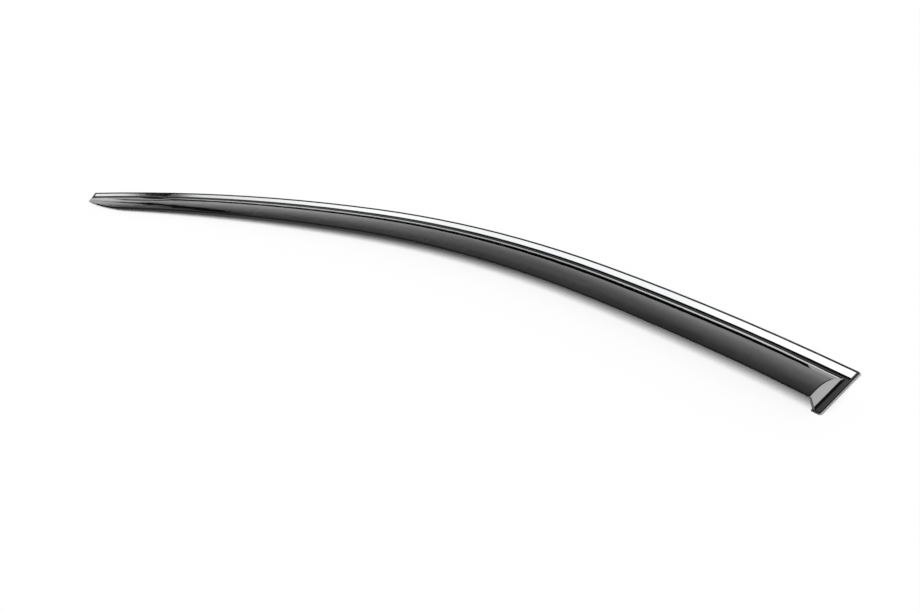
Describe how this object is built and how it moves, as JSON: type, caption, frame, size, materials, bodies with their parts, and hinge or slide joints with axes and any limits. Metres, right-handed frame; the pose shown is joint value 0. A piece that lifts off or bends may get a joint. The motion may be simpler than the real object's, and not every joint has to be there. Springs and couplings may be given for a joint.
{
  "type": "window rain deflector",
  "caption": "Long curved deflector blade for a front car door window, with a taped flange along its top edge, a bright trim strip and a closed rear end with a foot.",
  "frame": {"origin": "middle of the flange tape's back face, halfway along the top edge", "axes": "+X rearward along the chord of the top edge, +Y up the door, +Z out from the door; the back of the tape lies in the plane z = 0"},
  "size_m": [1.051, 0.1657, 0.0262],
  "materials": {
    "smoked_acrylic": "polished, very dark smoke",
    "bright_trim": "polished plating",
    "foam_tape": "matt foam"
  },
  "bodies": {
    "root": {"visor_body": "smoked_acrylic", "bright_strip": "bright_trim", "flange_tape": "foam_tape", "foot_tape": "foam_tape"}
  },
  "joints": []
}
